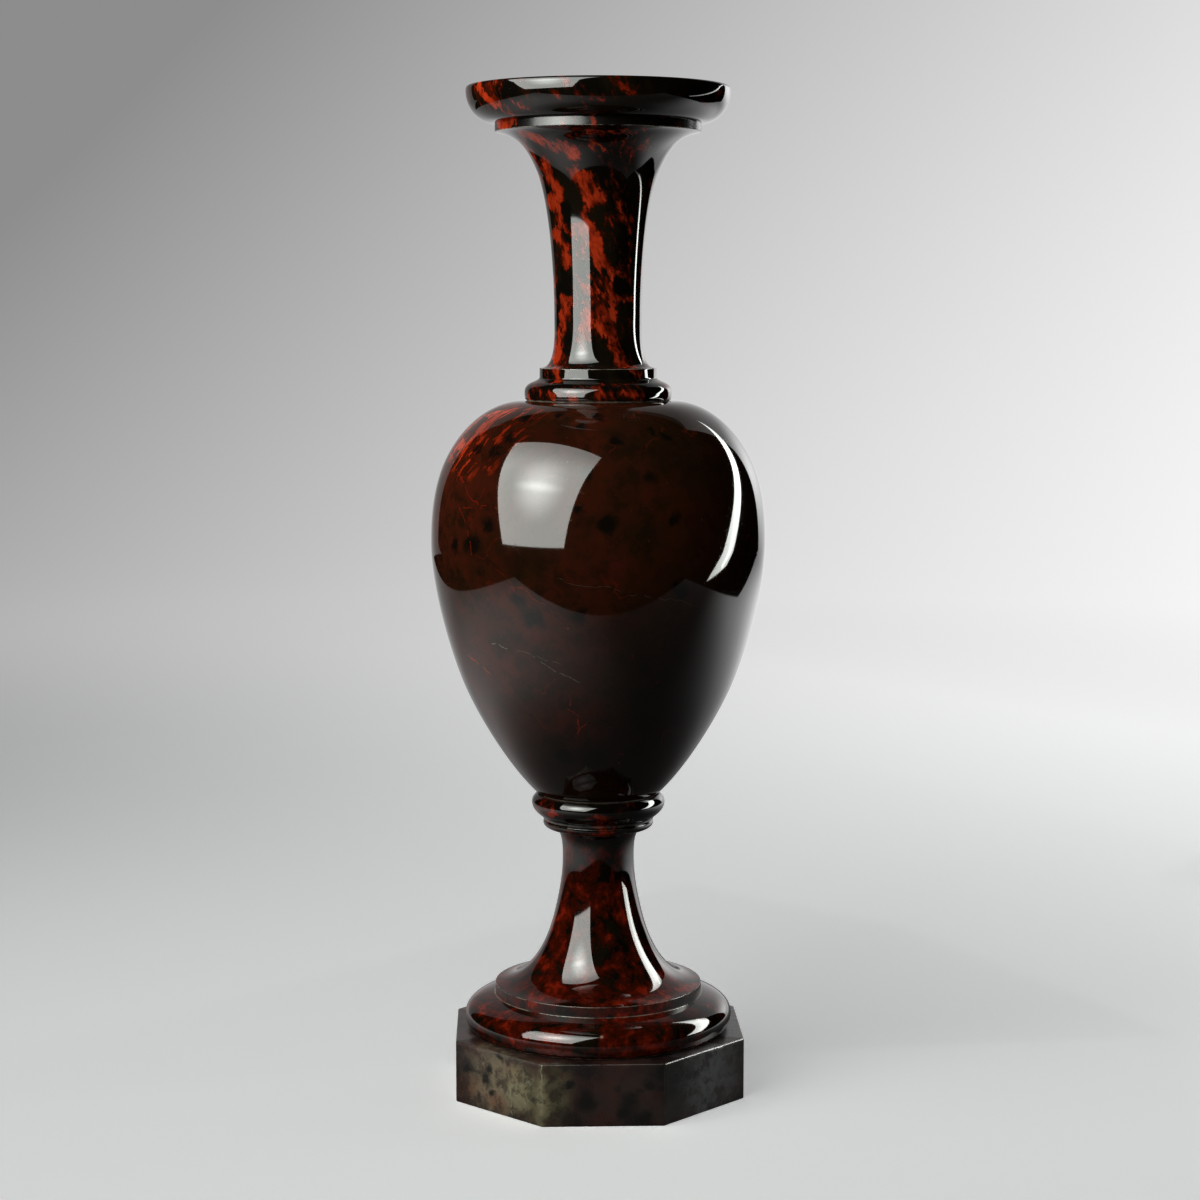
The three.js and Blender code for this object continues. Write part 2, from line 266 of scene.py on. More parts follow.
def neck_section():
    rim_radius = LIP_RADIUS - LIP_ROLL_DEPTH
    spigot_radius = SHOULDER_OPENING_RADIUS - SPIGOT_CLEARANCE
    section = HalfSection(NECK_BORE_RADIUS, -SPIGOT_LENGTH)
    section.line_to(spigot_radius, -SPIGOT_LENGTH).eased(SOFT_ARRIS)
    section.line_to(spigot_radius, 0)
    section.line_to(COLLAR_SEAT_RADIUS, 0).eased(CRISP_ARRIS)
    section.sweep_to(COLLAR_TORUS_RADIUS, COLLAR_TORUS_HEIGHT, 60, 90, 0.35)
    section.sweep_to(COLLAR_TORUS_TOP_RADIUS, COLLAR_TORUS_TOP, 90, 160, 0.4)
    section.sweep_to(COLLAR_BAND_RADIUS, COLLAR_BAND_LOW, 150, 90, 0.36)
    section.line_to(COLLAR_BAND_RADIUS, COLLAR_BAND_TOP).eased(CRISP_ARRIS)
    section.sweep_to(NECK_ROOT_RADIUS, NECK_ROOT_HEIGHT, 175, 150, 0.34)
    section.sweep_to(NECK_WAIST_RADIUS, NECK_WAIST_HEIGHT, 140, 90, 0.24)
    section.sweep_to(NECK_FLANK_RADIUS, NECK_FLANK_HEIGHT, 90, 66, 0.24)
    section.sweep_to(NECK_FILLET_RADIUS, NECK_FILLET_HEIGHT, 66, 8, 0.42).eased(CRISP_ARRIS)
    section.line_to(NECK_FILLET_RADIUS, NECK_FILLET_HEIGHT + NECK_FILLET_WIDTH)
    section.swell_to(LIP_RADIUS, NECK_HEIGHT - LIP_ROLL_HEIGHT)
    section.sweep_to(rim_radius, NECK_HEIGHT, 90, 165, 0.4)
    section.line_to(rim_radius - RIM_WIDTH, NECK_HEIGHT).eased(SOFT_ARRIS)
    section.sweep_to(DISH_RADIUS, NECK_HEIGHT - DISH_DEPTH, -100, -150, 0.35)
    return section.sweep_to(NECK_BORE_RADIUS, NECK_HEIGHT - MOUTH_DEPTH, -150, -90, 0.36)


def rub_arrises(shape, corners, worn):
    """Rounds the section's sharp corners and holds each rounding with a point close on either side."""
    for vertex, easing in corners:
        made = bmesh.ops.bevel(
            shape,
            geom=[vertex],
            offset=easing * MM,
            offset_type="OFFSET",
            segments=ARRIS_STEPS,
            profile=0.5,
            affect="VERTICES",
            material=-1,
        )
        rounded = made["verts"]
        for point in rounded:
            point[worn] = 1.0
        for point in rounded:
            for edge in point.link_edges:
                length = edge.calc_length() / MM
                if edge.other_vert(point) not in rounded and length > 3 * HOLDING_DISTANCE:
                    held = bmesh.utils.edge_split(edge, point, HOLDING_DISTANCE / length)[1]
                    held[worn] = 0.0


def draw_line(shape, points, closed=True):
    """Draws points, in metres, joined by edges."""
    line = [shape.verts.new(point) for point in points]
    for here, onward in zip(line, line[1:] + (line[:1] if closed else [])):
        shape.edges.new((here, onward))
    return line


def turn_about_axis(shape, steps):
    """Turns all that is drawn a full round about the upright axis."""
    bmesh.ops.spin(
        shape,
        geom=shape.verts[:] + shape.edges[:],
        cent=(0, 0, 0),
        axis=(0, 0, 1),
        angle=math.tau,
        steps=steps,
        use_merge=True,
    )


def turned_stone(name, section, bottom):
    """Turns a section about the axis into one closed stone with its place in its mesh."""
    shape = bmesh.new()
    worn = shape.verts.layers.float.new("arris")
    outline = draw_line(shape, [(p.x * MM, 0, (bottom + p.y) * MM) for p in section.points])
    rub_arrises(shape, [(outline[at], easing) for at, easing in section.arrises.items()], worn)
    turn_about_axis(shape, TURN_STEPS)
    return finished(name, shape)


def finished(name, shape):
    """Closes a shape into a mesh object that stands at the origin, smooth but for its sharp corners."""
    bmesh.ops.recalc_face_normals(shape, faces=shape.faces[:])
    for face in shape.faces:
        face.smooth = True
    for edge in shape.edges:
        edge.smooth = edge.calc_face_angle(0.0) < math.radians(SHARP_TURN)
    mesh = bpy.data.meshes.new(name)
    shape.to_mesh(mesh)
    shape.free()
    piece = bpy.data.objects.new(name, mesh)
    bpy.context.scene.collection.objects.link(piece)
    return piece


def push_to_flats(points):
    """Moves the points of a round wall out onto the octagon's flats."""
    for point in points:
        turn = math.atan2(point.co.y, point.co.x)
        off_flat = (turn + FLAT_TURN / 2) % FLAT_TURN - FLAT_TURN / 2
        point.co.x /= math.cos(off_flat)
        point.co.y /= math.cos(off_flat)


def depth_under_faces(point):
    """How far a point lies below the nearest outer face of the plinth, in millimetres."""
    turns = [FLAT_TURN * flat for flat in range(8)]
    outwards = max(point.x * math.cos(turn) + point.y * math.sin(turn) for turn in turns)
    return min(PLINTH_HALF_WIDTH - outwards / MM, point.z / MM - plinth_bottom, plinth_top - point.z / MM)


def octagonal_slab(name):
    """The slab with its bore and recess, its arrises rubbed round and lightly chipped."""
    shape = bmesh.new()
    worn = shape.verts.layers.float.new("arris")
    height = plinth_top - plinth_bottom
    levels = [height * step / PLINTH_WALL_STEPS for step in range(PLINTH_WALL_STEPS + 1)]
    section = [(PLINTH_HALF_WIDTH, level) for level in levels]
    section += [(STONE_BORE_RADIUS, height), (STONE_BORE_RADIUS, PLINTH_RECESS_DEPTH),
                (PLINTH_RECESS_RADIUS, PLINTH_RECESS_DEPTH), (PLINTH_RECESS_RADIUS, 0)]
    draw_line(shape, [(radius * MM, 0, level * MM) for radius, level in section])
    turn_about_axis(shape, PLINTH_TURN_STEPS)
    past_recess = (PLINTH_RECESS_RADIUS + 1) * MM
    push_to_flats([point for point in shape.verts if point.co.to_2d().length > past_recess])
    bmesh.ops.recalc_face_normals(shape, faces=shape.faces[:])
    outer = [edge for edge in shape.edges if edge.verts[0].co.to_2d().length > past_recess]
    arrises = [edge for edge in outer if edge.calc_face_angle(0.0) > FLAT_TURN * 2 / 3]
    bmesh.ops.bevel(
        shape,
        geom=arrises,
        offset=PLINTH_EASED_EDGE * MM,
        offset_type="OFFSET",
        segments=PLINTH_ARRIS_STEPS,
        profile=0.5,
        affect="EDGES",
        clamp_overlap=True,
        material=-1,
    )
    shape.normal_update()
    on_face = 0.012
    for point in shape.verts:
        if on_face < depth_under_faces(point.co) < PLINTH_EASED_EDGE:
            point[worn] = 1.0
            nick = noise.noise(point.co * 520) * 0.7 + noise.noise(point.co * 140) - 0.35
            point.co -= point.normal * max(nick, 0.0) * PLINTH_CHIP_DEPTH * MM
    return finished(name, shape)


def stand_in_for(piece, node, material):
    """Puts a fine piece in the place of its CAD node."""
    piece.data.materials.append(material)
    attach(piece, "root")
    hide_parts(node)
    return piece


def add(kind, inputs, output=0, tree=None, **settings):
    """Adds a node to the tree that its inputs come from, joins them, and gives back one of its outputs."""
    if tree is None:
        tree = next(value.id_data for value in inputs.values() if isinstance(value, bpy.types.NodeSocket))
    made = tree.nodes.new(kind)
    for key, value in settings.items():
        setattr(made, key, value)
    for socket, value in inputs.items():
        join(value, made.inputs[socket])
    return made.outputs[output]


def join(value, socket):
    if isinstance(value, bpy.types.NodeSocket):
        socket.id_data.links.new(value, socket)
    else:
        socket.default_value = value


def effect(group, output, vector, **inputs):
    """One of the shared effects, laid on a vector, with its named sockets filled."""
    return add("ShaderNodeGroup", {"Vector": vector, **inputs}, output, node_tree=group)


def mask_of(group, vector, **inputs):
    return effect(group, "Mask", vector, **inputs)


def maths(operation, first, second=0.0, clamp=False):
    return add("ShaderNodeMath", {0: first, 1: second}, operation=operation, use_clamp=clamp)


def plus(first, second, clamp=False):
    return maths("ADD", first, second, clamp)


def minus(first, second):
    return maths("SUBTRACT", first, second)


def times(first, second):
    return maths("MULTIPLY", first, second)


def greater(first, second):
    return maths("MAXIMUM", first, second)


def kept_between(value, low, high):
    return maths("MINIMUM", greater(value, low), high)


def past_cover(value, cover):
    """How far a value passes what the cover leaves bare."""
    return minus(value, minus(1.0, cover))


def vectors(operation, first, second=(0, 0, 0), output=0):
    return add("ShaderNodeVectorMath", {0: first, 1: second}, output, operation=operation)


def apart(first, second):
    return vectors("DISTANCE", first, second, "Value")


def length_of(vector):
    return vectors("LENGTH", vector, output="Value")


def dot(first, second):
    return vectors("DOT_PRODUCT", first, second, "Value")


def scaled(vector, scale):
    return add("ShaderNodeVectorMath", {0: vector, "Scale": scale}, operation="SCALE")


def axis(vector, number):
    """One part of a vector: 0 across, 1 in depth, 2 up."""
    return add("ShaderNodeSeparateXYZ", {0: vector}, number)


def laid(vector, move=(0, 0, 0), turn=(0, 0, 0), stretch=(1, 1, 1)):
    """Lays a pattern in the stone: moved, turned in degrees, and drawn out along its own axes."""
    angles = tuple(math.radians(angle) for angle in turn)
    inputs = {"Vector": vector, "Location": move, "Rotation": angles, "Scale": stretch}
    return add("ShaderNodeMapping", inputs, vector_type="TEXTURE")


def clouds(vector, scale, detail=3.0, roughness=0.55, output=0):
    inputs = {"Vector": vector, "Scale": scale, "Detail": detail, "Roughness": roughness}
    return add("ShaderNodeTexNoise", inputs, output)


def stray(vector, scale, detail, roughness=0.55):
    """Clouds that swing about nought."""
    return minus(clouds(vector, scale, detail, roughness), 0.5)


def cells(vector, spacing):
    """Distance from the nearest of many scattered points, and that point's own chance value."""
    distance = add("ShaderNodeTexVoronoi", {"Vector": vector, "Scale": spacing}, "Distance")
    return distance, add("ShaderNodeSeparateColor", {0: distance.node.outputs["Color"]})


def rise(value, low, high):
    """Rises smoothly from 0 to 1 as the value goes from low to high."""
    inputs = {"Value": value, "From Min": low, "From Max": high}
    return add("ShaderNodeMapRange", inputs, interpolation_type="SMOOTHSTEP")


def fall(value, low, high):
    """Falls smoothly from 1 to 0 as the value goes from low to high."""
    return minus(1.0, rise(value, low, high))


def spread(value, low, high):
    """Turns 0 to 1 into low to high."""
    return add("ShaderNodeMapRange", {"Value": value, "To Min": low, "To Max": high})


def between(share, first, second):
    return add("ShaderNodeMix", {0: share, 2: first, 3: second})


def tint(share, first, second):
    return add("ShaderNodeMix", {0: share, 6: first, 7: second}, 2, data_type="RGBA")


def overlaid(colour, overlay, mask, share):
    """Lays a share of another colour on a colour, where the mask says."""
    return tint(times(mask, share), colour, overlay)


def warped(vector, scale, distance):
    """Moves the pattern about by up to half the distance each way."""
    drift = vectors("SUBTRACT", clouds(vector, scale, 2.0, output=1), (0.5, 0.5, 0.5))
    return vectors("ADD", vector, scaled(drift, distance))


def new_group(name, build, **inputs):
    """A shared effect: named sockets, where a triple is a vector, and what a build function makes of them."""
    group = bpy.data.node_groups.new(name, "ShaderNodeTree")
    for label, value in {"Vector": (0, 0, 0), **inputs}.items():
        kind = "NodeSocketVector" if isinstance(value, tuple) else "NodeSocketFloat"
        group.interface.new_socket(name=label, in_out="INPUT", socket_type=kind).default_value = value
    entry = group.nodes.new("NodeGroupInput").outputs
    leave = group.nodes.new("NodeGroupOutput").inputs
    for label, value in build(*(entry[label] for label in ("Vector", *inputs))).items():
        group.interface.new_socket(name=label, in_out="OUTPUT", socket_type="NodeSocketFloat")
        join(value, leave[label])
    return group


def draw_flames(place, size, cover, ragged, edge):
    """Ragged red flames in dark stone, with the darker red haze that borders them."""
    broad = clouds(warped(place, 70.0, 0.012), size, 5.0, 0.62)
    field = plus(broad, times(stray(place, 520.0, 3.0, 0.6), ragged))
    excess = past_cover(field, cover)
    streaky = clouds(laid(place, move=(0.3, 0.1, 0.2)), 330.0, 4.0, 0.65)
    tone = rise(plus(streaky, times(excess, 1.1)), 0.44, 0.86)
    return {"Flame": rise(excess, 0.0, edge), "Haze": rise(excess, -0.12, 0.03), "Tone": tone}


def draw_soft_spot(place, centre, reach):
    """One soft-edged round spot at a chosen place."""
    return {"Mask": fall(maths("DIVIDE", apart(place, centre), reach), 0.35, 1.08)}


def draw_scattered_spots(place, spacing, size, cover):
    """Soft round spots of many sizes, gathered in clusters."""
    distance, chance = cells(warped(place, 150.0, 0.006), spacing)
    radius = times(spread(chance, 0.3, 1.0), size)
    inside = fall(distance, times(radius, 0.5), radius)
    cluster = rise(past_cover(clouds(place, 22.0, 1.0), cover), -0.03, 0.03)
    return {"Mask": times(inside, cluster)}


def draw_veins(place, size, width, cover):
    """Hair-thin wandering veins that break up and fade out."""
    field = stray(warped(place, 150.0, 0.006), size, 2.0, 0.5)
    line = fall(maths("ABSOLUTE", field), 0.0, width)
    presence = rise(past_cover(clouds(place, 40.0, 3.0), cover), 0.0, 0.05)
    return {"Mask": times(line, presence)}


def draw_patch(place, centre, reach, ragged, core, rim):
    """One ragged patch in a chosen place, on which a stone shows something of its own; some patches carry
    painted shade or a painted sheen instead.
    """
    offset = vectors("SUBTRACT", place, centre)
    distance = length_of(vectors("DIVIDE", offset, reach))
    field = plus(distance, times(stray(place, 130.0, 4.0, 0.6), ragged))
    return {"Mask": fall(field, core, rim)}


def draw_stroke(place, start, along, width):
    """One flame laid along a line in the stone, and carried on some way behind its surface."""
    carried_on = (1, 0.5, 1)
    offset = vectors("MULTIPLY", vectors("SUBTRACT", place, start), carried_on)
    along = vectors("MULTIPLY", along, carried_on)
    share = maths("DIVIDE", dot(offset, along), dot(along, along), clamp=True)
    across = maths("DIVIDE", apart(offset, scaled(along, share)), width)
    return {"Mask": fall(across, 0.4, 1.35)}


def draw_placed_vein(place, centre, across, reach, width):
    """One thin vein where a wavering plane comes out of the stone, within reach of its centre."""
    drifted = warped(warped(place, 90.0, 0.006), 500.0, 0.0012)
    offset = vectors("SUBTRACT", drifted, centre)
    line = fall(maths("ABSOLUTE", dot(offset, across)), 0.0, width)
    within = fall(maths("DIVIDE", length_of(offset), reach), 0.7, 1.0)
    breaks = rise(clouds(place, 300.0, 2.0), 0.4, 0.5)
    return {"Mask": times(times(line, within), breaks)}


def draw_specks(place, spacing, share, size):
    """Pin-head specks on a chosen share of many scattered points."""
    distance, chance = cells(warped(place, 900.0, 0.0007), spacing)
    chosen = maths("LESS_THAN", chance, share)
    return {"Mask": times(fall(distance, 0.0, size), chosen)}


def draw_polish(place, roughness, scratches):
    """The polish: faint cloudiness and hairline scratches in the gloss, and what they do to the surface."""
    lines = 0.0
    for turn in ((20, 65, 10), (70, -35, 50), (35, 15, -40)):
        strands = laid(place, turn=turn, stretch=(1, 1, 40))
        hair = rise(clouds(strands, 2400.0, 1.0), 0.70, 0.75)
        patchy = rise(clouds(laid(place, turn=turn), 60.0, 1.0), 0.5, 0.62)
        lines = greater(times(hair, patchy), lines)
    lines = times(lines, scratches)
    base = times(roughness, spread(clouds(place, 55.0, 4.0, 0.6), 0.6, 1.5))
    height = minus(times(clouds(place, 210.0, 2.0, 0.5), 0.35), lines)
    return {"Roughness": plus(base, times(lines, 0.2), clamp=True), "Height": height}


def draw_rubbed(place, worn):
    """Where arrises are rubbed: the stone goes pale and dull in a broken line."""
    line = rise(add("ShaderNodeAttribute", {}, "Fac", place.id_data, attribute_name="arris"), 0.55, 0.95)
    broken = rise(clouds(place, 180.0, 4.0, 0.65), 0.38, 0.6)
    return {"Mask": times(times(line, broken), worn)}


NOWHERE = (0, 0, 0)
flames = new_group("stone_flames", draw_flames, Size=75.0, Cover=0.5, Ragged=0.16, Edge=0.04)
soft_spot = new_group("soft_spot", draw_soft_spot, Centre=NOWHERE, Reach=0.004)
scattered_spots = new_group("scattered_spots", draw_scattered_spots, Spacing=60.0, Size=0.3, Cover=0.5)
veins = new_group("stone_veins", draw_veins, Size=40.0, Width=0.006, Cover=0.4)
patch = new_group("ragged_patch", draw_patch, Centre=NOWHERE, Reach=(0.02, 0.02, 0.02), Ragged=0.6, Core=0.55,
                  Rim=1.05)
stroke = new_group("flame_stroke", draw_stroke, Start=NOWHERE, Along=(0, 0, 0.01), Width=0.003)
placed_vein = new_group("placed_vein", draw_placed_vein, Centre=NOWHERE, Across=(0, 0, 1), Reach=0.02,
                        Width=0.0003)
specks = new_group("stone_specks", draw_specks, Spacing=260.0, Share=0.08, Size=0.12)
polish = new_group("stone_polish", draw_polish, Roughness=0.12, Scratches=0.5)
rubbed = new_group("rubbed_arris", draw_rubbed, Worn=0.6)

# Colours of the stone, as linear red, green and blue
# Black of the stone, also laid on the body as painted shade
BLACK_STONE_AND_SHADE = (0.006, 0.0045, 0.003, 1)
GREEN_BLACK = (0.013, 0.0085, 0.004, 1)
DARK_RED = (0.075, 0.009, 0.002, 1)
FLAME_RED = (0.17, 0.016, 0.004, 1)
BRIGHT_RED = (0.62, 0.075, 0.020, 1)
DEEP_RED = (0.062, 0.007, 0.002, 1)
DULL_RED = (0.14, 0.014, 0.004, 1)
FOOT_RED = (0.34, 0.030, 0.007, 1)
MAROON = (0.050, 0.013, 0.005, 1)
BROWN = (0.026, 0.011, 0.004, 1)
BODY_RED = (0.085, 0.016, 0.007, 1)
VEIN_RED = (0.38, 0.032, 0.010, 1)
VEIN_PALE = (0.30, 0.28, 0.20, 1)
ORANGE_SPECK = (0.45, 0.14, 0.05, 1)
OLIVE = (0.20, 0.17, 0.095, 1)
PALE_OLIVE = (0.42, 0.38, 0.235, 1)
CREAM = (0.42, 0.40, 0.27, 1)
RUBBED_STONE = (0.40, 0.34, 0.27, 1)
PLINTH_DARK = (0.014, 0.008, 0.007, 1)
PLINTH_BROWN = (0.048, 0.027, 0.021, 1)
# Painted sheen, laid as a colour on the plinth's front right face
PAINTED_SHEEN_GREY = (0.25, 0.247, 0.245, 1)
PLINTH_RED = (0.080, 0.024, 0.016, 1)
PLINTH_TAN = (0.37, 0.30, 0.205, 1)
PLINTH_RUST = (0.26, 0.090, 0.042, 1)
# How much each stone reflects, and how deep the polish is marked, in metres
STONE_IOR = 1.38
PLINTH_IOR = 1.5
POLISH_RELIEF = 0.000003
POLISHED = 0.045
# Where a fillet's dull band begins and is full, in from its arrises in millimetres
BAND_EDGE = 0.05
BAND_FULL = 0.15


def new_material(name):
    """An empty material, its shader's sockets and the place on the piece that patterns follow."""
    material = bpy.data.materials.new(name)
    material.use_nodes = True
    shader = material.node_tree.nodes["Principled BSDF"]
    place = material.node_tree.nodes.new("ShaderNodeTexCoord").outputs["Object"]
    return material, shader.inputs, place


def polished(shader, colour, place, roughness, scratches, dull=0.0, worn_share=0.7):
    """Joins a stone's colour and polish to its shader."""
    worn = mask_of(rubbed, place, Worn=worn_share)
    join(tint(worn, colour, RUBBED_STONE), shader["Base Color"])
    finish = {"Roughness": roughness, "Scratches": scratches}
    rougher = plus(times(worn, 0.35), dull)
    gloss = effect(polish, "Roughness", place, **finish)
    join(plus(gloss, rougher, clamp=True), shader["Roughness"])
    height = effect(polish, "Height", place, **finish)
    bump = add("ShaderNodeBump", {"Height": height, "Strength": 1.0, "Distance": POLISH_RELIEF})
    join(bump, shader["Normal"])
    shader["IOR"].default_value = STONE_IOR


def fillet_band(place, bottom, width):
    """1 on a plain fillet, fading out just short of its arrises, all in millimetres."""
    height = axis(place, 2)
    above = rise(height, (bottom + BAND_EDGE) * MM, (bottom + BAND_FULL) * MM)
    below = fall(height, (bottom + width - BAND_FULL) * MM, (bottom + width - BAND_EDGE) * MM)
    return times(above, below)


def metres(triple):
    return tuple(value * MM for value in triple)


def patched(place, centre, reach, **edge):
    """One ragged patch: centre and reach in millimetres."""
    return mask_of(patch, place, Centre=metres(centre), Reach=metres(reach), **edge)


def spotted(place, dark, spots):
    """Adds chosen spots to a mask: centre and reach in millimetres."""
    for centre, reach in spots:
        spot = mask_of(soft_spot, place, Centre=metres(centre), Reach=reach * MM)
        dark = greater(dark, spot)
    return dark


def veined(place, colour, single_veins):
    """Lays single veins on a colour."""
    for centre, across, reach, width, share, overlay in single_veins:
        vein = mask_of(placed_vein, place, Centre=metres(centre), Across=across, Reach=reach * MM,
                          Width=width * MM)
        colour = overlaid(colour, overlay, vein, share)
    return colour


def flame_colour(grain, size, cover, edge, ragged, deep, red, bright):
    """Dark ground, haze and flames in one colour."""
    inputs = {"Size": size, "Cover": cover, "Edge": edge, "Ragged": ragged}
    ground = tint(rise(clouds(grain, 90.0), 0.45, 0.62), BLACK_STONE_AND_SHADE, GREEN_BLACK)
    hazed = tint(effect(flames, "Haze", grain, **inputs), ground, deep)
    flame = tint(effect(flames, "Tone", grain, **inputs), red, bright)
    return tint(effect(flames, "Flame", grain, **inputs), hazed, flame)


def drifting_cover(place, middle, swing):
    """Cover that rises and falls over several centimetres."""
    return plus(times(stray(place, 14.0, 1.0), swing), middle)


def changed_cover(place, cover, changes):
    """Raises or lowers the cover in patches: centre and reach in millimetres, then the change."""
    drifted = warped(warped(place, 120.0, 0.012), 360.0, 0.005)
    for centre, reach, change in changes:
        mask = patched(drifted, centre, reach, Ragged=0.3, Core=0.2, Rim=1.3)
        cover = plus(cover, times(mask, change))
    return cover


def stroked_cover(place, cover, strokes):
    """Raises the cover along chosen lines: width in millimetres, how far it rises, then the line's points."""
    drifted = warped(warped(place, 110.0, 0.007), 420.0, 0.0035)
    raised = 0.0
    for width, lift, line in strokes:
        for start, end in zip(line, line[1:]):
            along = metres(Vector(end) - Vector(start))
            mask = mask_of(stroke, drifted, Start=metres(start), Along=along, Width=width * MM)
            raised = greater(times(mask, lift), raised)
    return plus(cover, raised)


def neck_stone():
    """Red-flamed stone whose flames lean across the shaft."""
    material, shader, place = new_material("neck_stone")
    grain = laid(place, move=(0.013, 0.02, 0.0), turn=(4, FLAME_LEAN, 0), stretch=(1, 1, 2.2))
    front = patched(place, (0, -24, 310), (60, 22, 80), Ragged=0.3)
    cover = minus(drifting_cover(place, 0.42, 0.3), times(front, 0.10))
    cover = changed_cover(place, cover, LIP_GROUND)
    cover = stroked_cover(place, cover, NECK_FLAMES + LIP_FLAMES)
    cover = changed_cover(place, cover, NECK_DARKS)
    colour = flame_colour(grain, 120.0, cover, 0.05, 0.75, DARK_RED, FLAME_RED, BRIGHT_RED)
    dust = mask_of(specks, place, Spacing=420.0, Share=0.03, Size=0.2)
    colour = overlaid(colour, VEIN_PALE, dust, 0.35)
    fillet = fillet_band(place, neck_bottom + NECK_FILLET_HEIGHT, NECK_FILLET_WIDTH)
    polished(shader, colour, place, POLISHED, 0.3, times(fillet, 0.2))
    return material


def knop_stone():
    """The same stone cut where the red is sparse and clouded."""
    material, shader, place = new_material("knop_stone")
    grain = laid(place, move=(0.05, 0.02, 0.0), stretch=(1, 1, 1.3))
    cover = changed_cover(place, drifting_cover(place, 0.42, 0.3), KNOP_FLAMES)
    colour = flame_colour(grain, 110.0, cover, 0.07, 0.4, DEEP_RED, FLAME_RED, FOOT_RED)
    polished(shader, colour, place, POLISHED, 0.3, worn_share=0.2)
    return material


def foot_stone():
    """The same stone in a finer, cloudier mottle, with the fillet left duller than the curves."""
    material, shader, place = new_material("foot_stone")
    grain = laid(place, move=(0.02, 0.07, 0.01), turn=(0, 14, 0), stretch=(1, 1, 1.2))
    cover = stroked_cover(place, drifting_cover(place, 0.50, 0.25), FOOT_FLAMES)
    cover = changed_cover(place, cover, FOOT_DARKS)
    colour = flame_colour(grain, 140.0, cover, 0.20, 0.35, DEEP_RED, DULL_RED, FOOT_RED)
    chip = mask_of(soft_spot, place, Centre=metres((-0.4, -46.9, 30.7)), Reach=0.0008)
    colour = overlaid(colour, RUBBED_STONE, chip, 0.6)
    fillet = fillet_band(place, foot_bottom + FOOT_FILLET_HEIGHT, FOOT_FILLET_WIDTH)
    dull = greater(times(fillet, 0.26), times(chip, 0.4))
    polished(shader, colour, place, POLISHED, 0.4, dull)
    return material


def body_stone():
    """Dark maroon stone with black spots, a flamed shoulder and thin veins, and shade painted black on its
    lower and right side.
    """
    material, shader, place = new_material("body_stone")
    cloud = rise(clouds(place, 26.0, 4.0, 0.6), 0.38, 0.64)
    mottle = clouds(warped(place, 90.0, 0.008), 150.0, 5.0, 0.65)
    colour = tint(cloud, BROWN, MAROON)
    for centre, reach, share in BODY_CLOUDS:
        mask = times(patched(place, centre, reach, Ragged=1.2), share)
        mask = times(mask, rise(mottle, 0.32, 0.66))
        colour = tint(times(mask, spread(cloud, 0.5, 1.0)), colour, BODY_RED)
    colour = overlaid(colour, BLACK_STONE_AND_SHADE, rise(mottle, 0.52, 0.36), 0.32)
    # Painted shade: black laid where the key lamp's light falls off, low down and on the right
    for centre, reach, share in BODY_PAINTED_SHADE:
        shade = patched(place, centre, reach, Core=0.2, Rim=1.2)
        colour = overlaid(colour, BLACK_STONE_AND_SHADE, shade, share)
    shoulder = patched(place, (-39, -22, 238), (24, 24, 17), Ragged=1.0)
    streaks = laid(warped(place, 60.0, 0.008), turn=(0, 50, 0), stretch=(1, 1, 6.0))
    for part, overlay in (("Haze", DARK_RED), ("Flame", BRIGHT_RED)):
        mask = effect(flames, part, streaks, Size=330.0, Cover=0.48, Edge=0.04, Ragged=0.2)
        colour = tint(times(mask, shoulder), colour, overlay)
    drifted = warped(warped(place, 170.0, 0.006), 450.0, 0.0025)
    dark = times(mask_of(scattered_spots, place, Spacing=62.0, Size=0.32, Cover=0.46), 0.9)
    dark = spotted(drifted, dark, BODY_SPOTS)
    colour = overlaid(colour, BLACK_STONE_AND_SHADE, dark, 0.94)
    wandering = mask_of(veins, place, Size=46.0, Width=0.010, Cover=0.44)
    colour = veined(place, overlaid(colour, VEIN_RED, wandering, 0.2), BODY_VEINS)
    dust = mask_of(specks, place, Spacing=330.0, Share=0.035, Size=0.2)
    colour = overlaid(colour, ORANGE_SPECK, dust, 0.4)
    polished(shader, colour, place, 0.04, 0.6)
    return material


def plinth_stone():
    """Duller maroon stone with black spots, gone olive round the front left arris, with a painted grey sheen
    on its front right face.
    """
    material, shader, place = new_material("plinth_stone")
    cloud = rise(clouds(place, 60.0, 4.0, 0.6), 0.38, 0.62)
    drifted = warped(warped(place, 140.0, 0.006), 500.0, 0.002)
    blush = rise(clouds(laid(drifted, move=(0.1, 0, 0)), 75.0, 4.0, 0.6), 0.46, 0.64)
    colour = overlaid(tint(cloud, PLINTH_DARK, PLINTH_BROWN), PLINTH_RED, blush, 0.5)
    grained = spread(rise(clouds(drifted, 240.0, 5.0, 0.65), 0.38, 0.60), 0.25, 1.0)
    # Stone patches, and on the front right face a painted sheen
    for centre, reach, share, overlay in PLINTH_PATCHES:
        mask = times(patched(drifted, centre, reach, Core=0.1, Rim=1.25), share)
        colour = overlaid(colour, overlay, mask, grained)
    dark = times(mask_of(scattered_spots, place, Spacing=95.0, Size=0.34, Cover=0.54), 0.6)
    dark = spotted(drifted, dark, PLINTH_SPOTS)
    colour = overlaid(colour, BLACK_STONE_AND_SHADE, dark, 0.93)
    network = mask_of(veins, drifted, Size=190.0, Width=0.022, Cover=0.58)
    network = times(network, patched(place, (-27, -46, 13), (8, 8, 11)))
    colour = veined(place, overlaid(colour, CREAM, network, 0.6), PLINTH_VEINS)
    polished(shader, colour, place, 0.27, 0.6, worn_share=0.12)
    shader["IOR"].default_value = PLINTH_IOR
    return material


